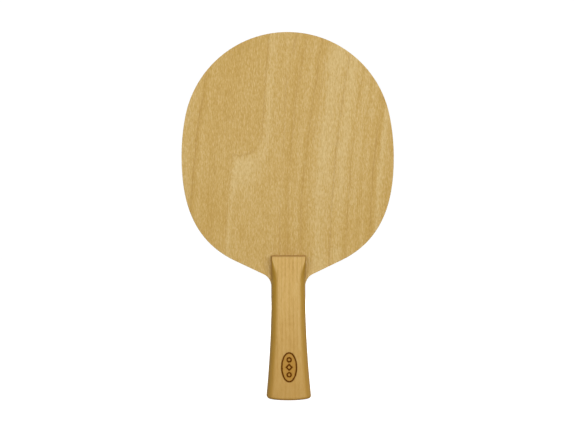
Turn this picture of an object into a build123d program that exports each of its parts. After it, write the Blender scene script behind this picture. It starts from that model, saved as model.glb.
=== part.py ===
from build123d import *
from build123d.topology import SkipClean
import os
from math import cos, radians, sin, sqrt

# A bare table tennis blade: five plies of veneer pressed into one flat board, cut to the
# outline of head, neck and handle, with a shaped scale glued to each side of the handle.
# It stands on its butt: +Z runs up the handle to the tip, the front looks along -Y, and the
# origin is under the lowest point of the butt, on the centre line.

# Outline of the head
overall_length = 257.0  # lowest point of the butt to the tip
head_width = 148.5
widest_below_tip = 87.0
tip_span = 78.7  # degrees of the tip's arc on each side of the centre line
cheek_side_pull = 0.53  # how far the cheek's curve keeps to the side's line, of 1
cheek_shoulder_pull = 0.83  # how far it keeps to the shoulder's line, of 1
shoulder_angle = 25.5  # degrees above level
shoulder_length = 28.0  # straight stretch, from where it would meet the neck's side
shoulder_root = 85.1  # height where it would meet the neck's side

# Outline of the handle
neck_width = 23.6
neck_radius = 9.5
flare_start = 76.0  # height above which the handle's sides are parallel
butt_width = 31.2
butt_crown = 1.4  # height of the butt's corners over its lowest point
butt_rounding = 2.0

# Plies, through the thickness
core_thickness = 3.6
cross_ply_thickness = 0.6
face_ply_thickness = 0.6
sanded_edge = 0.3  # rounding of the head's edge on the two face plies
rubber_gap = 0.5  # the rubber would stop this far above the scale's top end

# Handle scales
scale_length = 100.5
scale_thickness_top = 8.0
scale_thickness_butt = 9.4
grip_rounding = 6.5  # outer edges along the grip
top_rounding = 0.4  # the same edges at the square top end
rounding_fade = 17.0  # length over which the rounding runs out below the top end
side_clearance = 0.02  # scale's sides inside the blade's sides
grip_sections = 6  # cross-sections that shape a scale below the fade
fade_sections = 6  # and along it

# Mark burnt into the front scale: a plain oval round a lozenge between two small rings
mark_width = 11.0
mark_height = 20.8
mark_above_butt = 23.1
mark_line = 0.8
mark_depth = 0.25
lozenge_height = 5.0  # corner to corner of a square that stands on one corner
ring_diameter = 3.6
ring_spacing = 10.4  # between the centres of the two rings

# Worked out from the sizes above
half_head = head_width / 2
half_neck = neck_width / 2
half_butt = butt_width / 2
widest_height = overall_length - widest_below_tip
cross_ply_start = core_thickness / 2
face_ply_start = cross_ply_start + cross_ply_thickness
half_blade = face_ply_start + face_ply_thickness
flare_drop = flare_start - butt_crown
flare_step = half_butt - half_neck
flare_radius = (flare_drop**2 + flare_step**2) / (2 * flare_step)
butt_radius = (half_butt**2 + butt_crown**2) / (2 * butt_crown)
rubber_line = scale_length + rubber_gap


def head_radii():
    """Radii of the tip's arc and of the side's arc, which meet smoothly at tip_span."""
    across = sin(radians(tip_span))
    along = cos(radians(tip_span))
    share = 1 - across - along
    side_radius = (half_head * (1 - along) - widest_below_tip * across) / share
    tip_radius = (widest_below_tip * (1 - across) - half_head * along) / share
    return tip_radius, side_radius


def cheek_points():
    """Control points of the cheek, from the widest point down to the straight shoulder."""
    slope = Vector(cos(radians(shoulder_angle)), sin(radians(shoulder_angle)))
    root = Vector(half_neck, shoulder_root)
    widest = Vector(half_head, widest_height)
    shoulder_end = root + slope * shoulder_length
    corner = root + slope * ((half_head - half_neck) / slope.X)
    side_hold = widest + (corner - widest) * cheek_side_pull
    shoulder_hold = shoulder_end + (corner - shoulder_end) * cheek_shoulder_pull
    return widest, side_hold, shoulder_hold, shoulder_end


def blade_outline():
    """The whole blade seen from the front, with local X across it and local Y up it."""
    tip_radius, side_radius = head_radii()
    with BuildSketch() as outline:
        with BuildLine():
            side = JernArc((half_head, widest_height), (0, 1), side_radius, 90 - tip_span)
            JernArc(side @ 1, side % 1, tip_radius, tip_span)
            cheek = Bezier(*cheek_points())
            neck = FilletPolyline(
                cheek @ 1,
                (half_neck, shoulder_root),
                (half_neck, flare_start),
                radius=neck_radius,
            )
            flare = TangentArc(neck @ 1, (half_butt, butt_crown), tangent=(0, -1))
            TangentArc((0, 0), flare @ 1, tangent=(1, 0))
            mirror(about=Plane.YZ)
        make_face()
        fillet(outline.vertices().filter_by_position(Axis.Y, 0.01, butt_crown), butt_rounding)
    return outline.sketch


def ply(inner, thickness):
    """A flat ply in front of the core, from inner to inner + thickness before the middle."""
    with BuildPart() as sheet:
        with BuildSketch(Plane.XZ.offset(inner)):
            add(blade_outline())
        extrude(amount=thickness)
    return sheet.part


def face_ply():
    """The front face ply: the head's edge is sanded round, the handle's stays square."""
    with BuildPart() as sheet:
        add(ply(face_ply_start, face_ply_thickness))
        fillet(sheet.edges().group_by(Axis.Y)[0], sanded_edge)
        with BuildSketch(Plane.XZ.offset(face_ply_start)):
            add(blade_outline())
            Rectangle(2 * head_width, 2 * flare_start, mode=Mode.INTERSECT)
        extrude(amount=face_ply_thickness)
    return sheet.part


def divided_at_rubber_line(whole):
    """The same solid, with its flat left divided where the rubber would stop."""
    line = Plane.XY.offset(rubber_line)
    head_end = split(whole, bisect_by=line, keep=Keep.TOP)
    handle_end = split(whole, bisect_by=line, keep=Keep.BOTTOM)
    with SkipClean():
        with BuildPart() as sheet:
            add(head_end)
            add(handle_end)
    return sheet.part


def half_width_at(height):
    """Half the handle's width: parallel down to flare_start, then one arc out to the butt."""
    drop = max(flare_start - height, 0)
    return half_neck + flare_radius - sqrt(flare_radius**2 - drop**2)


def scale_thickness_at(height):
    """Thickness of a scale, growing towards the butt as its width does."""
    drop = max(flare_start - height, 0)
    growth = scale_thickness_butt - scale_thickness_top
    return scale_thickness_top + growth * (drop / flare_start) ** 2


def rounding_at(height):
    """Rounding of the scale's outer edges, run out to almost nothing at the top end."""
    share = min((scale_length - height) / rounding_fade, 1)
    return top_rounding + (grip_rounding - top_rounding) * sin(radians(90 * share)) ** 2


def handle_scale():
    """The front scale without its mark, rounded along the grip and round the butt."""
    fade_start = scale_length - rounding_fade
    grip_spacing = (fade_start + butt_rounding) / grip_sections
    fade_spacing = rounding_fade / fade_sections
    heights = [-butt_rounding + grip_spacing * step for step in range(grip_sections)]
    heights += [fade_start + fade_spacing * step for step in range(fade_sections + 1)]
    with BuildPart() as blank:
        for height in heights:
            depth = 2 * (half_blade + scale_thickness_at(height))
            with BuildSketch(Plane.XY.offset(height)) as section:
                Rectangle(2 * (half_width_at(height) - side_clearance), depth)
                fillet(section.vertices(), rounding_at(height))
        loft()
        split(bisect_by=Plane.XZ.offset(half_blade), keep=Keep.TOP)
        with BuildSketch(Plane.XZ):
            Rectangle(2 * butt_width, butt_radius)
            with Locations((0, butt_radius)):
                Circle(butt_radius, mode=Mode.SUBTRACT)
        extrude(amount=half_blade + 2 * scale_thickness_butt, mode=Mode.SUBTRACT)
        butt_edges = blank.faces().sort_by(Axis.Z)[0].edges().sort_by(Axis.Y)[:-1]
        fillet(butt_edges, butt_rounding)
    return blank.part


def burnt_wood(blank):
    """What the branding iron took out of the scale: its lines, one depth under the surface."""
    with BuildPart() as lines:
        with BuildSketch(Plane.XZ.offset(half_blade)):
            with Locations((0, mark_above_butt)):
                Ellipse(mark_width / 2, mark_height / 2)
                Ellipse(mark_width / 2 - mark_line, mark_height / 2 - mark_line, mode=Mode.SUBTRACT)
                RegularPolygon(lozenge_height / 2, 4)
                RegularPolygon(lozenge_height / 2 - mark_line * sqrt(2), 4, mode=Mode.SUBTRACT)
                with GridLocations(0, ring_spacing, 1, 2):
                    Circle(ring_diameter / 2)
                    Circle(ring_diameter / 2 - mark_line, mode=Mode.SUBTRACT)
        extrude(amount=2 * scale_thickness_butt)
        with Locations((0, mark_depth, 0)):
            add(blank, mode=Mode.SUBTRACT)
    return lines.part


core = ply(-cross_ply_start, core_thickness)
cross = ply(cross_ply_start, cross_ply_thickness)
face = face_ply()
front_face = divided_at_rubber_line(face)
back_face = divided_at_rubber_line(face.mirror(Plane.XZ))
scale = handle_scale()
mark = burnt_wood(scale)

with BuildPart() as core_ply:
    add(core)

with BuildPart() as front_cross_ply:
    add(cross)

with BuildPart() as back_cross_ply:
    mirror(cross, about=Plane.XZ)

with BuildPart() as front_face_ply:
    add(front_face, clean=False)

with BuildPart() as back_face_ply:
    add(back_face, clean=False)

with BuildPart() as front_handle_scale:
    add(scale)
    add(mark, mode=Mode.SUBTRACT)

with BuildPart() as back_handle_scale:
    mirror(scale, about=Plane.XZ)

pieces = {
    "core_ply": core_ply,
    "front_cross_ply": front_cross_ply,
    "back_cross_ply": back_cross_ply,
    "front_face_ply": front_face_ply,
    "back_face_ply": back_face_ply,
    "front_handle_scale": front_handle_scale,
    "back_handle_scale": back_handle_scale,
}

os.makedirs("parts", exist_ok=True)
for name, piece in pieces.items():
    piece.part.label = name
    export_step(piece.part, f"parts/{name}.step")
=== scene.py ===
import math

import bpy
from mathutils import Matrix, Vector


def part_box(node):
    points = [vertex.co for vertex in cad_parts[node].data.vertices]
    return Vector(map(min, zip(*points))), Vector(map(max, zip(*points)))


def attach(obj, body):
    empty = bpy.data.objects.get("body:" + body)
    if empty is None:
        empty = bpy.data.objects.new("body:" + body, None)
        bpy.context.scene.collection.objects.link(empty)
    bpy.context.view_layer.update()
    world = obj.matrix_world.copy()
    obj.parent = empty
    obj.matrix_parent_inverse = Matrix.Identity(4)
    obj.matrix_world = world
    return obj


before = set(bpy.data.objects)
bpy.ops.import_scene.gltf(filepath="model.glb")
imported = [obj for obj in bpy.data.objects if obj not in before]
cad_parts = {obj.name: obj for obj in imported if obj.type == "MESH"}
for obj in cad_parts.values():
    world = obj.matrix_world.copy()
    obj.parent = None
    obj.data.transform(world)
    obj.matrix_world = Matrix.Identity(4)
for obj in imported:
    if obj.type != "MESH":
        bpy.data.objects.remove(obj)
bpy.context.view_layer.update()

# ---------------------------------------------------------------------------
# The camera stands a long way in front of the blade, level with the middle of
# its height, very slightly to the left and tipped by a quarter of a degree.
# ---------------------------------------------------------------------------
lens = 160.0
sensor = 36.0
view_width = 0.4039  # metres that the picture spans at the blade
view_centre = Vector((0.0004, 0.0, 0.128))
to_the_left = math.radians(2.0)  # of straight ahead
tipped = math.radians(0.25)

camera_data = bpy.data.cameras.new("camera")
camera_data.lens = lens
camera_data.sensor_width = sensor
camera = bpy.data.objects.new("camera", camera_data)
camera.rotation_euler = (math.radians(90), tipped, -to_the_left)
away = camera.rotation_euler.to_matrix() @ Vector((0, 0, view_width * lens / sensor))
camera.location = view_centre + away
bpy.context.scene.collection.objects.link(camera)
bpy.context.scene.camera = camera

# ---------------------------------------------------------------------------
# The core ply is a thick pale veneer of a light, porous wood, peeled from the
# log and pressed with its grain up the blade. Only its sanded edge shows.
# ---------------------------------------------------------------------------
millimetres = 1000.0
bare_wood_gloss = 0.16
core_tones = ((0.480, 0.300, 0.105), (0.610, 0.425, 0.180), (0.700, 0.530, 0.270))
pore_brown = (0.250, 0.130, 0.045)
glue_brown = (0.300, 0.165, 0.060)
glue_seen = 0.06  # millimetres of each ply's edge that the glue stains
edge_contrast = 1.9  # how strongly the streaks of an inner ply's edge show
edge_pores_seen = 0.50
edge_glue_seen = 0.75
edge_relief = 0.00012


def node(tree, kind, *inputs, **settings):
    """Adds a node. Each input is a value, another node's output, or None to leave it."""
    made = tree.nodes.new(kind)
    for name, value in settings.items():
        setattr(made, name, value)
    for socket, value in zip(made.inputs, inputs):
        if isinstance(value, bpy.types.NodeSocket):
            tree.links.new(value, socket)
        elif value is not None:
            socket.default_value = value
    return made.outputs[0]


def math_of(tree, operation, *inputs):
    return node(tree, "ShaderNodeMath", *inputs, operation=operation)


def vector_of(tree, operation, *inputs):
    return node(tree, "ShaderNodeVectorMath", *inputs, operation=operation)


def length_of(tree, vector):
    return vector_of(tree, "LENGTH", vector).node.outputs["Value"]


def total(tree, first, *others):
    for other in others:
        first = math_of(tree, "ADD", first, other)
    return first


def product(tree, first, *others):
    for other in others:
        first = math_of(tree, "MULTIPLY", first, other)
    return first


def parts_of(tree, place):
    """Distances across the blade, through it and up it."""
    return node(tree, "ShaderNodeSeparateXYZ", place).node.outputs


def fade(tree, value, start, end, at_start=0.0, at_end=1.0):
    """A soft step from at_start, where the value is start or beyond, to at_end."""
    return node(tree, "ShaderNodeMapRange", value, start, end, at_start, at_end,
                interpolation_type="SMOOTHSTEP")


def blend(tree, share, first, second):
    """Mixes two colours, each a colour or another node's output."""
    mix = tree.nodes.new("ShaderNodeMix")
    mix.data_type = "RGBA"
    for socket, value in zip((mix.inputs[0], mix.inputs[6], mix.inputs[7]), (share, first, second)):
        if isinstance(value, bpy.types.NodeSocket):
            tree.links.new(value, socket)
        else:
            socket.default_value = (*value, 1.0) if isinstance(value, tuple) else value
    return mix.outputs[2]


def noise(tree, place, stretch, detail=2.0, roughness=0.5):
    """Noise within about a third of 0, with so many features a millimetre each way."""
    at = vector_of(tree, "MULTIPLY", place, stretch)
    value = node(tree, "ShaderNodeTexNoise", at, None, 1.0, detail, roughness)
    return math_of(tree, "SUBTRACT", value, 0.5)


def line_noise(tree, distance, lines, start, detail):
    """Noise round 0 that changes with one distance only, with so many lines a millimetre."""
    at = node(tree, "ShaderNodeCombineXYZ", product(tree, distance, lines), start, 0.0)
    value = node(tree, "ShaderNodeTexNoise", at, None, 1.0, detail, 0.6)
    return math_of(tree, "SUBTRACT", value, 0.5)


def tones(tree, share, stops, interpolation="LINEAR"):
    """A colour for each share from 0 to 1, by (share, colour) stops."""
    ramp = tree.nodes.new("ShaderNodeValToRGB")
    ramp.color_ramp.interpolation = interpolation
    elements = ramp.color_ramp.elements
    while len(elements) < len(stops):
        elements.new(0.5)
    for element, (position, colour) in zip(elements, stops):
        element.position = position
        element.color = (*colour, 1.0)
    tree.links.new(share, ramp.inputs[0])
    return ramp.outputs[0]


def three_tones(tree, share, dark_middle_pale):
    return tones(tree, share, list(zip((0.0, 0.5, 1.0), dark_middle_pale)))


def start_wood(name, cut_from):
    """A new material, its tree and shader, the place on the piece, and that place in the log."""
    material = bpy.data.materials.new(name)
    material.use_nodes = True
    tree = material.node_tree
    place = tree.nodes.new("ShaderNodeTexCoord").outputs["Object"]
    place = vector_of(tree, "MULTIPLY", place, (millimetres,) * 3)
    log = vector_of(tree, "ADD", place, cut_from)
    return material, tree, tree.nodes["Principled BSDF"], place, log


def finish_wood(tree, shader, colour, roughness, height, relief):
    """Joins colour, roughness and relief, in metres, to the shader of bare sanded wood."""
    tree.links.new(colour, shader.inputs["Base Color"])
    tree.links.new(roughness, shader.inputs["Roughness"])
    shader.inputs["Specular IOR Level"].default_value = bare_wood_gloss
    bump = tree.nodes.new("ShaderNodeBump")
    bump.inputs["Strength"].default_value = 1.0
    bump.inputs["Distance"].default_value = relief
    tree.links.new(height, bump.inputs["Height"])
    tree.links.new(bump.outputs[0], shader.inputs["Normal"])


def near_glue(tree, place, depth):
    """1 at a glued face that lies at this depth through the blade, 0 a hair away from it."""
    away = math_of(tree, "ABSOLUTE", math_of(tree, "SUBTRACT", parts_of(tree, place)["Y"], depth))
    return fade(tree, away, 0.0, glue_seen, 1.0, 0.0)


def ply_edge(name, dark_middle_pale, box, cut_from, grain, pores):
    """Edge of an inner ply: streaks where it is cut along the grain and dots where across."""
    material, tree, shader, place, log = start_wood(name, cut_from)
    streaks = noise(tree, log, grain, 4.0, 0.65)
    open_pores = fade(tree, noise(tree, log, pores, 1.0), 0.08, 0.20)
    shade = math_of(tree, "MULTIPLY_ADD", streaks, edge_contrast, 0.5)
    colour = three_tones(tree, shade, dark_middle_pale)
    colour = blend(tree, product(tree, open_pores, edge_pores_seen), colour, pore_brown)
    for face in box:
        glue = near_glue(tree, place, face.y * millimetres)
        colour = blend(tree, product(tree, glue, edge_glue_seen), colour, glue_brown)
    rough = math_of(tree, "MULTIPLY_ADD", streaks, -0.3, 0.68)
    height = math_of(tree, "SUBTRACT", streaks, open_pores)
    finish_wood(tree, shader, colour, rough, height, edge_relief)
    return material


core_grain = (1.6, 4.0, 0.07)  # features a millimetre across, through and up the blade
core_pores = (3.2, 3.2, 0.22)
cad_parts["core_ply"].material_slots[0].material = ply_edge(
    "core_wood", core_tones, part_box("core_ply"), (0.0, 0.0, 0.0), core_grain, core_pores)

# ---------------------------------------------------------------------------
# The two cross plies are thin veneers of a darker, denser wood, turned so that
# their grain runs across the blade. They show as fine lines along the edge.
# ---------------------------------------------------------------------------
cross_tones = ((0.300, 0.155, 0.050), (0.400, 0.235, 0.085), (0.500, 0.320, 0.135))
cross_grain = (0.07, 5.0, 1.8)
cross_pores = (0.25, 3.5, 3.5)
cross_plies = (("front_cross_ply", (0.0, 90.0, 0.0)), ("back_cross_ply", (0.0, 170.0, 0.0)))

for name, cut_from in cross_plies:
    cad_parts[name].material_slots[0].material = ply_edge(
        name + "_wood", cross_tones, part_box(name), cut_from, cross_grain, cross_pores)

# ---------------------------------------------------------------------------
# The face plies are sliced veneers of a pale straw-coloured wood, pressed on and
# sanded fine. Their growth bands and the dark lines between them lean to one
# side, and step sideways in a shelf beside a knot that lay higher in the log.
# ---------------------------------------------------------------------------
face_tones = ((0.508, 0.314, 0.074), (0.590, 0.390, 0.129), (0.690, 0.517, 0.234))
fibre_brown = (0.360, 0.190, 0.045)
line_brown = (0.330, 0.150, 0.028)
band_reach = 75.0  # millimetres each way that the bands are listed for
shade_reach = 17.0  # steps of shade, darker or paler, from the middle tone to either end
line_half_width = 0.7  # millimetres from the middle of a dark growth line to where it ends
shelf_droop = 15.0  # millimetres that the shelf drops on its outer side
shelf_tail = 50.0  # millimetres below the shelf that a fifth of its step still fades over

# Features a millimetre across, through and up the blade, and how far the bands sway, in
# millimetres, or how strongly the feature shows.
band_wander, wander_reach = (0.05, 0.05, 0.016), 3.5
band_waver, waver_reach = (0.20, 0.20, 0.055), 2.0
face_fibres, face_fibres_seen = (2.1, 2.1, 0.40), 2.1
face_streaks, face_streaks_seen = (1.7, 1.7, 0.032), 0.85
face_mottle, face_mottle_seen = (0.45, 0.45, 0.20), 0.25
face_pores, face_pores_seen = (2.4, 2.4, 0.30), 0.18
fine_bands, fine_bands_seen = 0.70, 0.45  # across the growth bands only
lines_fade = (0.10, 0.10, 0.035)
face_glue_seen = 0.6
face_relief = 0.00007


def hump(tree, value, centre, half_width):
    """1 at the centre, falling away smoothly to either side."""
    away = math_of(tree, "MULTIPLY_ADD", value, 1 / half_width, -centre / half_width)
    return math_of(tree, "EXPONENT", product(tree, away, away, -1.0))


def growth_bands(tree, place, log, lean, calm, shelf):
    """Distance across the growth bands, in millimetres, at each place on a face ply."""
    parts = parts_of(tree, place)
    across, up = parts["X"], parts["Z"]
    level, slope, bend = lean
    above = math_of(tree, "SUBTRACT", up, level)
    leaning = product(tree, above, math_of(tree, "MULTIPLY_ADD", above, bend, slope))
    calm_at, calm_half, calming = calm
    share = math_of(tree, "MULTIPLY_ADD", hump(tree, across, calm_at, calm_half), -calming, 1.0)
    shelf_at, shelf_half, shelf_foot, shelf_top, shelf_size, outward = shelf
    outer = fade(tree, across, shelf_at + 5.0 * outward, shelf_at - 6.0 * outward, 0.0, shelf_droop)
    step = fade(tree, math_of(tree, "SUBTRACT", up, outer), shelf_foot, shelf_top, shelf_size, 0.0)
    slow = fade(tree, up, shelf_foot - shelf_tail, shelf_foot, 0.2 * shelf_size, 0.0)
    shifted = product(tree, total(tree, step, slow), hump(tree, across, shelf_at, shelf_half))
    wander = product(tree, noise(tree, log, band_wander), wander_reach)
    waver = product(tree, noise(tree, log, band_waver), waver_reach)
    moved = math_of(tree, "SUBTRACT", across, product(tree, leaning, share))
    return total(tree, moved, shifted, wander, waver)


def share_of_reach(distance):
    """Where a distance across the bands lies between the two ends of the list, from 0 to 1."""
    return (distance + band_reach) / (2 * band_reach)


def face_veneer(name, cut_from, figure, bands, lines, patches, inner_face):
    """Bare sanded veneer with growth bands and lines, soft patches, streaks, fibres and pores."""
    material, tree, shader, place, log = start_wood(name, cut_from)
    distance = growth_bands(tree, place, log, *figure)
    share = node(tree, "ShaderNodeMapRange", distance, -band_reach, band_reach, 0.0, 1.0)
    stops = [(share_of_reach(at), (0.5 + shade / (2 * shade_reach),) * 3) for at, shade in bands]
    shades = [tones(tree, share, stops, "EASE")]
    for (across, up), (half_width, half_height), shade in patches:
        near = vector_of(tree, "SUBTRACT", place, (across, 0.0, up))
        near = vector_of(tree, "MULTIPLY", near, (1 / half_width, 0.0, 1 / half_height))
        near = length_of(tree, near)
        shades.append(product(tree, hump(tree, near, 0.0, 1.0), shade / (2 * shade_reach)))

    fibres = noise(tree, log, face_fibres, 2.0, 0.70)
    streaks = noise(tree, log, face_streaks, 3.0, 0.65)
    mottle = noise(tree, log, face_mottle, 3.0, 0.6)
    growth = line_noise(tree, distance, fine_bands, cut_from[1], 3.0)
    for part, weight in (
        (fibres, face_fibres_seen),
        (streaks, face_streaks_seen),
        (mottle, face_mottle_seen),
        (growth, fine_bands_seen),
    ):
        shades.append(product(tree, part, weight))
    colour = three_tones(tree, total(tree, *shades), face_tones)

    stops = []
    for at, strength in lines:
        for aside, depth in ((-line_half_width, 0.0), (0.0, strength), (line_half_width, 0.0)):
            stops.append((share_of_reach(at + aside), (depth,) * 3))
    come_and_go = fade(tree, noise(tree, log, lines_fade), -0.16, 0.08, 0.25, 1.0)
    lines_seen = product(tree, tones(tree, share, stops), come_and_go)
    colour = blend(tree, lines_seen, colour, line_brown)

    open_pores = fade(tree, noise(tree, log, face_pores, 1.0), 0.10, 0.22)
    colour = blend(tree, product(tree, open_pores, face_pores_seen), colour, fibre_brown)
    glue = near_glue(tree, place, inner_face)
    colour = blend(tree, product(tree, glue, face_glue_seen), colour, glue_brown)
    rough = math_of(tree, "MULTIPLY_ADD", streaks, -0.25, 0.62)
    height = total(tree, fibres, streaks, product(tree, open_pores, -0.6))
    finish_wood(tree, shader, colour, rough, height, face_relief)
    return material


# Each band: its distance across, and how many steps paler or darker than the middle tone.
front_bands = [
    (-72, 1.0), (-68, -1.0), (-63, -9.5), (-59, -1.5), (-54, -4.5), (-45, -7.0), (-39, -4.5),
    (-30, -3.0), (-21, -4.0), (-15.5, 7.5), (-11, 0.0), (-4, 0.0), (0.8, -6.0), (3.5, -2.5),
    (9, 1.2), (12.8, -5.5), (15.5, -2.0), (20, 4.0), (24.5, 9.5), (30, 7.0), (33.2, 4.0),
    (38.8, 9.5), (44.8, 0.0), (49, 5.0), (53, -2.5), (56, 3.0), (59.5, -4.0), (62.5, -6.5),
    (65.5, 9.5), (69, -1.5), (72, -3.0),
]
# Each dark line between bands: its distance across, and how strongly it shows, of 1.
front_lines = [
    (-64.3, 0.36), (-41.5, 0.15), (-19.0, 0.30), (-4.0, 0.28), (2.2, 0.18), (12.6, 0.26),
    (17.0, 0.16), (33.6, 0.36), (44.8, 0.24), (61.0, 0.30),
]
# Each soft patch: its middle, its half sizes, and how many steps paler or darker.
front_patches = [
    ((-31.0, 156.0), (8.0, 16.0), 5.0),
    ((-20.0, 146.0), (7.0, 20.0), -5.0),
    ((-58.0, 170.0), (14.0, 34.0), 3.0),
    ((-36.0, 208.0), (12.0, 14.0), 2.5),
    ((-50.0, 128.0), (12.0, 18.0), -3.0),
    ((0.0, 112.0), (26.0, 14.0), -2.5),
    ((38.0, 118.0), (24.0, 26.0), -6.5),
    ((63.0, 140.0), (8.0, 22.0), -2.0),
]
front_figure = (
    (170.0, 0.104, 0.00055),  # level at this height, and lean and bend above it
    (-8.0, 14.0, 0.55),  # where the bands lean less, half its width, and how much less
    (-38.0, 15.0, 163.0, 188.0, 20.0, 1.0),  # the shelf: centre, half width, foot, top, size, side
)
front_face_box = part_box("front_face_ply")
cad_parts["front_face_ply"].material_slots[0].material = face_veneer(
    "front_face_wood", (0.0, 260.0, 0.0), front_figure, front_bands, front_lines, front_patches,
    front_face_box[1].y * millimetres)

back_bands = [
    (-73, 0.0), (-66, -6.0), (-61, 3.0), (-52, 6.0), (-47, -1.0), (-40, -4.0), (-34, -7.0),
    (-31, 4.0), (-25, 8.0), (-18, 3.0), (-13, -3.0), (-9, 1.0), (-3, -5.0), (1, 2.0), (8, 5.0),
    (14, -2.0), (19, 0.0), (24, -8.0), (27, 6.0), (35, 3.0), (43, -3.0), (50, -6.0), (55, -2.0),
    (60, 5.0), (66, -4.0), (72, 0.0),
]
back_lines = [
    (-58.0, 0.36), (-34.5, 0.30), (-9.0, 0.20), (-3.0, 0.34), (24.0, 0.42), (38.5, 0.28),
    (57.0, 0.32),
]
back_patches = [
    ((24.0, 205.0), (12.0, 16.0), 4.0),
    ((-30.0, 140.0), (18.0, 22.0), -3.0),
    ((44.0, 150.0), (12.0, 26.0), -2.5),
]
back_figure = (
    (150.0, -0.080, -0.00045),
    (10.0, 16.0, 0.5),
    (34.0, 14.0, 196.0, 220.0, -14.0, -1.0),
)
back_face_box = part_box("back_face_ply")
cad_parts["back_face_ply"].material_slots[0].material = face_veneer(
    "back_face_wood", (410.0, 350.0, 130.0), back_figure, back_bands, back_lines, back_patches,
    back_face_box[0].y * millimetres)

# ---------------------------------------------------------------------------
# The handle scales are sawn from solid straight-grained wood, a little warmer
# than the face, glued on, and rounded over by hand down to the butt. The front
# one carries a mark burnt in with a hot iron: an oval round a lozenge and rings.
# ---------------------------------------------------------------------------
scale_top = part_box("front_handle_scale")[1].z
scale_tones = ((0.490, 0.272, 0.059), (0.634, 0.400, 0.123), (0.720, 0.505, 0.198))
# Brown of the dark growth rings, also used for the painted shade line at the top end.
ring_and_shade_brown = (0.400, 0.215, 0.055)
# The brown of painted shade, with some handled grime, on the rounded edges.
edge_shade_and_grime_brown = (0.420, 0.225, 0.016)
burn_dark = (0.100, 0.024, 0.0002)
burn_brown = (0.320, 0.130, 0.006)
scorched = (0.450, 0.215, 0.018)
ring_spacing = 2.9  # millimetres between growth rings
top_shade_depth = 0.8  # millimetres below the top end that a painted dark line of shade reaches

# Features a millimetre across, through and up the handle, and how far the rings sway, in
# millimetres, or how strongly the feature shows.
ring_wander, ring_wander_reach = (0.05, 0.05, 0.010), 5.0
ring_patches = (0.35, 0.35, 0.03)
broad_bands, broad_bands_seen = 0.16, 0.4  # across the growth rings only
scale_streaks, scale_streaks_seen = (1.5, 1.5, 0.03), 0.6
scale_fibres, scale_fibres_seen = (1.8, 1.8, 0.35), 0.9
scale_mottle, scale_mottle_seen = (0.30, 0.30, 0.10), 0.5
latewood_shade, latewood_stain = -0.22, 0.12
edge_shade_and_grime_strength = 0.85  # painted shade, with some handled grime, where the grip is rounded over
held_stain = 0.60  # at the butt, fading out up the handle
held_from, held_to = 90.0, 0.0  # millimetres above the butt
scale_relief = 0.00006

# The mark, in millimetres, each size to the middle of its line.
mark_centre = (0.0, 0.0, 23.1)
mark_half_width = 5.1
mark_half_height = 10.0
small_ring_radius = 1.4
small_ring_rise = 5.2  # above and below the mark's centre
lozenge_half = 1.934  # centre to corner
charred_from, charred_to = 0.28, 0.68  # from the middle of a line out to bare wood
browned_from, browned_to = 0.35, 1.25


def distance_to_mark(tree, place):
    """Distance from the middle of the nearest line, and the share of the way out to the oval."""
    at = vector_of(tree, "SUBTRACT", place, mark_centre)
    at = vector_of(tree, "MULTIPLY", at, (1.0, 0.0, 1.0))
    shrink = (1 / mark_half_width, 0.0, 1 / mark_half_height)
    shrunk = vector_of(tree, "MULTIPLY", at, shrink)
    reach = length_of(tree, shrunk)
    steepness = length_of(tree, vector_of(tree, "MULTIPLY", shrunk, shrink))
    oval = math_of(tree, "ABSOLUTE", math_of(tree, "SUBTRACT", reach, 1.0))
    oval = math_of(tree, "DIVIDE", product(tree, oval, reach), steepness)

    folded = vector_of(tree, "ABSOLUTE", at)
    small_ring = vector_of(tree, "SUBTRACT", folded, (0.0, 0.0, small_ring_rise))
    small_ring = math_of(tree, "SUBTRACT", length_of(tree, small_ring), small_ring_radius)
    corner = parts_of(tree, folded)
    lozenge = math_of(tree, "SUBTRACT", total(tree, corner["X"], corner["Z"]), lozenge_half)
    lozenge = math_of(tree, "DIVIDE", lozenge, math.sqrt(2))
    nearest = oval
    for line in (small_ring, lozenge):
        nearest = math_of(tree, "MINIMUM", nearest, math_of(tree, "ABSOLUTE", line))
    return nearest, reach


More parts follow.
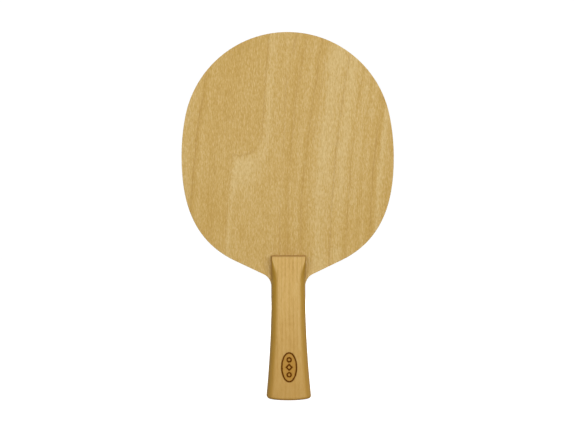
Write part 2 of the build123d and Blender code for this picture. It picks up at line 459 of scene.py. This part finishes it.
def handle_wood(name, cut_from, marked):
    """Solid wood with straight growth rings; painted shade and some grime where rounded, darker
    where held.
    """
    material, tree, shader, place, log = start_wood(name, cut_from)
    parts = parts_of(tree, place)
    wander = product(tree, noise(tree, log, ring_wander), ring_wander_reach)
    rings = total(tree, parts["X"], product(tree, parts["Y"], 0.35), wander)
    through_ring = math_of(tree, "FRACT", product(tree, rings, 1 / ring_spacing))
    latewood = fade(tree, through_ring, 0.45, 0.92)
    latewood = product(tree, latewood, fade(tree, through_ring, 1.0, 0.94))
    latewood_seen = product(tree, latewood, fade(tree, noise(tree, log, ring_patches), -0.16, 0.12))
    broad = line_noise(tree, rings, broad_bands, cut_from[1], 2.0)
    streaks = noise(tree, log, scale_streaks, 3.0, 0.65)
    fibres = noise(tree, log, scale_fibres, 2.0, 0.65)
    mottle = noise(tree, log, scale_mottle, 2.0, 0.6)

    shades = [0.55]
    for part, weight in (
        (broad, broad_bands_seen),
        (streaks, scale_streaks_seen),
        (fibres, scale_fibres_seen),
        (mottle, scale_mottle_seen),
        (latewood_seen, latewood_shade),
    ):
        shades.append(product(tree, part, weight))
    colour = three_tones(tree, total(tree, *shades), scale_tones)
    colour = blend(tree, product(tree, latewood_seen, latewood_stain), colour, ring_and_shade_brown)
    # Painted shade, with some handled grime: darker where the surface turns away from the front,
    # over the rounded edges, and less on the flat sides.
    facing = tree.nodes.new("ShaderNodeTexCoord").outputs["Normal"]
    facing = math_of(tree, "ABSOLUTE", parts_of(tree, facing)["Y"])
    flat_side = fade(tree, facing, 0.55, 0.05, 1.0, 0.35)
    rounded = product(tree, fade(tree, facing, 0.975, 0.78, 0.0, edge_shade_and_grime_strength), flat_side)
    held = fade(tree, parts["Z"], held_from, held_to, 0.0, held_stain)
    colour = blend(tree, rounded, colour, edge_shade_and_grime_brown)
    colour = blend(tree, held, colour, scale_tones[0])
    # Painted shade: a dark line along the scale's top end, where it stands up from the face ply.
    top_shade_from = scale_top * millimetres - top_shade_depth
    top_shade = fade(tree, parts["Z"], top_shade_from - 0.2, top_shade_from + 0.4, 0.0, 0.85)
    colour = blend(tree, top_shade, colour, ring_and_shade_brown)
    rough = math_of(tree, "MULTIPLY_ADD", streaks, -0.25, 0.55)
    height = total(tree, fibres, streaks, product(tree, latewood, 0.3))
    if marked:
        away, reach = distance_to_mark(tree, place)
        away = total(tree, away, product(tree, fibres, 0.8))
        colour = blend(tree, fade(tree, reach, 0.90, 1.06, 0.70, 0.0), colour, scorched)
        browned = fade(tree, away, browned_from, browned_to, 0.55, 0.0)
        colour = blend(tree, browned, colour, burn_brown)
        charred = fade(tree, away, charred_from, charred_to, 0.97, 0.0)
        colour = blend(tree, charred, colour, burn_dark)
        gloss = math_of(tree, "MULTIPLY_ADD", charred, -bare_wood_gloss, bare_wood_gloss)
        tree.links.new(gloss, shader.inputs["Specular IOR Level"])
    finish_wood(tree, shader, colour, rough, height, scale_relief)
    return material


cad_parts["front_handle_scale"].material_slots[0].material = handle_wood(
    "front_scale_wood", (0.0, 510.0, 0.0), True)
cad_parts["back_handle_scale"].material_slots[0].material = handle_wood(
    "back_scale_wood", (70.0, 620.0, 40.0), False)

# ---------------------------------------------------------------------------
# A thin bead of dried glue and sanding dust sits in the corner round the top
# and sides of each scale, where it stands on the face ply. It was squeezed out
# in the press and never wiped off quite evenly. Its dark brown is also painted
# contact shadow for that corner.
# ---------------------------------------------------------------------------
# Sizes in metres.
bead_radius = 0.00052
bead_unevenness = 0.55
bead_lumps = 900.0  # to a metre
bead_step = 0.0006  # between the rings of points that make up its skin
bead_sides = 8
bead_thin_end = 0.07  # share of the line, at each end, along which the bead thins out
bead_relief = 0.00004
bead_start = 0.0829  # height where the face ply begins to show beside the handle
scale_half_width = 0.01178
# The bead's browns: glue and dust, made darker still as painted contact shadow.
dust_and_shade_brown = (0.370, 0.195, 0.045)
dust_and_shade_pale = (0.470, 0.275, 0.080)


def glue_and_painted_shade():
    """Brown glue with dust in it, darker as painted shadow, a little glossy where it is bare."""
    material, tree, shader, place, log = start_wood("glue_and_painted_shade", (0.0, 700.0, 0.0))
    grains = noise(tree, log, (2.5, 2.5, 2.5), 3.0, 0.6)
    colour = tones(tree, math_of(tree, "ADD", grains, 0.5), [(0.35, dust_and_shade_brown), (0.65, dust_and_shade_pale)])
    rough = math_of(tree, "MULTIPLY_ADD", grains, 0.6, 0.45)
    finish_wood(tree, shader, colour, rough, grains, bead_relief)
    return material


def socket_into(tree, name, kind, value):
    """Adds a named input to the bead's own node tree."""
    made = tree.interface.new_socket(name=name, in_out="INPUT", socket_type=kind)
    if value is not None:
        made.default_value = value


def glue_bead_tree(material):
    """Follows a line with an uneven round bead that thins out towards both ends."""
    tree = bpy.data.node_groups.new("glue_bead", "GeometryNodeTree")
    socket_into(tree, "Line", "NodeSocketGeometry", None)
    socket_into(tree, "Radius", "NodeSocketFloat", bead_radius)
    socket_into(tree, "Unevenness", "NodeSocketFloat", bead_unevenness)
    socket_into(tree, "Step", "NodeSocketFloat", bead_step)
    socket_into(tree, "Seed", "NodeSocketFloat", 0.0)
    tree.interface.new_socket(name="Bead", in_out="OUTPUT", socket_type="NodeSocketGeometry")
    given = tree.nodes.new("NodeGroupInput").outputs

    line = node(tree, "GeometryNodeMeshToCurve", given["Line"])
    resample = tree.nodes.new("GeometryNodeResampleCurve")
    resample.mode = "LENGTH"
    tree.links.new(line, resample.inputs["Curve"])
    tree.links.new(given["Step"], resample.inputs["Length"])

    lumps = tree.nodes.new("ShaderNodeTexNoise")
    lumps.noise_dimensions = "4D"
    lumps.inputs["Scale"].default_value = bead_lumps
    lumps.inputs["Detail"].default_value = 2.0
    tree.links.new(node(tree, "GeometryNodeInputPosition"), lumps.inputs["Vector"])
    tree.links.new(given["Seed"], lumps.inputs["W"])
    swell = math_of(tree, "MULTIPLY_ADD", lumps.outputs[0], 2.0, -1.0)
    swell = math_of(tree, "MULTIPLY_ADD", swell, given["Unevenness"], 1.0)
    along = node(tree, "GeometryNodeSplineParameter")
    from_end = math_of(tree, "MINIMUM", along, math_of(tree, "SUBTRACT", 1.0, along))
    thinned = fade(tree, from_end, 0.0, bead_thin_end, 0.25, 1.0)

    ring = tree.nodes.new("GeometryNodeCurvePrimitiveCircle")
    ring.inputs["Resolution"].default_value = bead_sides
    tree.links.new(given["Radius"], ring.inputs["Radius"])
    skin = tree.nodes.new("GeometryNodeCurveToMesh")
    tree.links.new(resample.outputs[0], skin.inputs["Curve"])
    tree.links.new(ring.outputs[0], skin.inputs["Profile Curve"])
    tree.links.new(product(tree, swell, thinned), skin.inputs["Scale"])
    skin.inputs["Fill Caps"].default_value = True
    smooth = node(tree, "GeometryNodeSetShadeSmooth", skin.outputs[0])
    real = node(tree, "GeometryNodeRealizeInstances", smooth)
    painted = tree.nodes.new("GeometryNodeSetMaterial")
    painted.inputs["Material"].default_value = material
    tree.links.new(real, painted.inputs["Geometry"])
    tree.links.new(painted.outputs[0], tree.nodes.new("NodeGroupOutput").inputs[0])
    return tree


bead_tree = glue_bead_tree(glue_and_painted_shade())
for name, face, seed in (
    ("front_glue_and_shade_bead", front_face_box[0].y, 3.0),
    ("back_glue_and_shade_bead", back_face_box[1].y, 8.0),
):
    corners = [
        (-scale_half_width, face, bead_start), (-scale_half_width, face, scale_top),
        (scale_half_width, face, scale_top), (scale_half_width, face, bead_start),
    ]
    line = bpy.data.meshes.new(name + "_line")
    line.from_pydata(corners, [(0, 1), (1, 2), (2, 3)], [])
    path = bpy.data.objects.new(name + "_path", line)
    bpy.context.scene.collection.objects.link(path)
    bead_maker = path.modifiers.new("bead", "NODES")
    bead_maker.node_group = bead_tree
    for socket in bead_tree.interface.items_tree:
        if socket.in_out == "INPUT" and socket.name == "Seed":
            bead_maker[socket.identifier] = seed
    evaluated = path.evaluated_get(bpy.context.evaluated_depsgraph_get())
    bead = bpy.data.objects.new(name, bpy.data.meshes.new_from_object(evaluated))
    bpy.data.objects.remove(path)
    bpy.context.scene.collection.objects.link(bead)
    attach(bead, "root")

# ---------------------------------------------------------------------------
# The stage: a plain white floor under the butt and a white surround, which
# hardly light the wood; one large soft light in front, to the right and above;
# and weaker ones at the front left, at both sides and behind.
# ---------------------------------------------------------------------------
floor_half = 6.0
floor_grey = (0.5, 0.5, 0.5, 1.0)  # what it reflects; to the camera it is plain white
surround_light = 0.08
surround_seen = 1.02

floor_data = bpy.data.meshes.new("floor")
corners = [(x * floor_half, y * floor_half, 0) for x, y in ((-1, -1), (1, -1), (1, 1), (-1, 1))]
floor_data.from_pydata(corners, [], [(0, 1, 2, 3)])
floor = bpy.data.objects.new("floor", floor_data)
bpy.context.scene.collection.objects.link(floor)
floor_paint = bpy.data.materials.new("floor_paint")
floor_paint.use_nodes = True
paint_tree = floor_paint.node_tree
floor_shader = paint_tree.nodes["Principled BSDF"]
floor_shader.inputs["Base Color"].default_value = floor_grey
floor_shader.inputs["Roughness"].default_value = 1.0
floor_shader.inputs["Specular IOR Level"].default_value = 0.0
floor_shader.inputs["Emission Color"].default_value = (1.0, 1.0, 1.0, 1.0)
seen = paint_tree.nodes.new("ShaderNodeLightPath").outputs["Is Camera Ray"]
paint_tree.links.new(seen, floor_shader.inputs["Emission Strength"])
floor_data.materials.append(floor_paint)

world = bpy.data.worlds.new("surround")
world.use_nodes = True
bpy.context.scene.world = world
sky = world.node_tree
background = sky.nodes["Background"]
background.inputs["Color"].default_value = (1.0, 1.0, 1.0, 1.0)
seen = sky.nodes.new("ShaderNodeLightPath").outputs["Is Camera Ray"]
strength = node(sky, "ShaderNodeMapRange", seen, 0.0, 1.0, surround_light, surround_seen)
sky.links.new(strength, background.inputs["Strength"])

# Each light: its name, its place in metres, its size in metres and its power in watts.
lights = (
    ("key", (0.50, -1.80, 0.75), 1.8, 31.4),
    ("left_front_fill", (-0.95, -1.60, 0.30), 1.0, 11.2),
    ("right_fill", (1.60, 0.65, 0.50), 1.0, 7.0),
    ("left_fill", (-1.60, 0.65, 0.50), 1.0, 2.0),
    ("back_fill", (0.0, 1.90, 0.90), 1.2, 36.0),
)
for name, place, size, power in lights:
    lamp = bpy.data.lights.new(name, "AREA")
    lamp.size = size
    lamp.energy = power
    stand = bpy.data.objects.new(name, lamp)
    stand.location = place
    stand.rotation_euler = (view_centre - Vector(place)).to_track_quat("-Z", "Y").to_euler()
    bpy.context.scene.collection.objects.link(stand)

bpy.context.scene.view_settings.view_transform = "Standard"
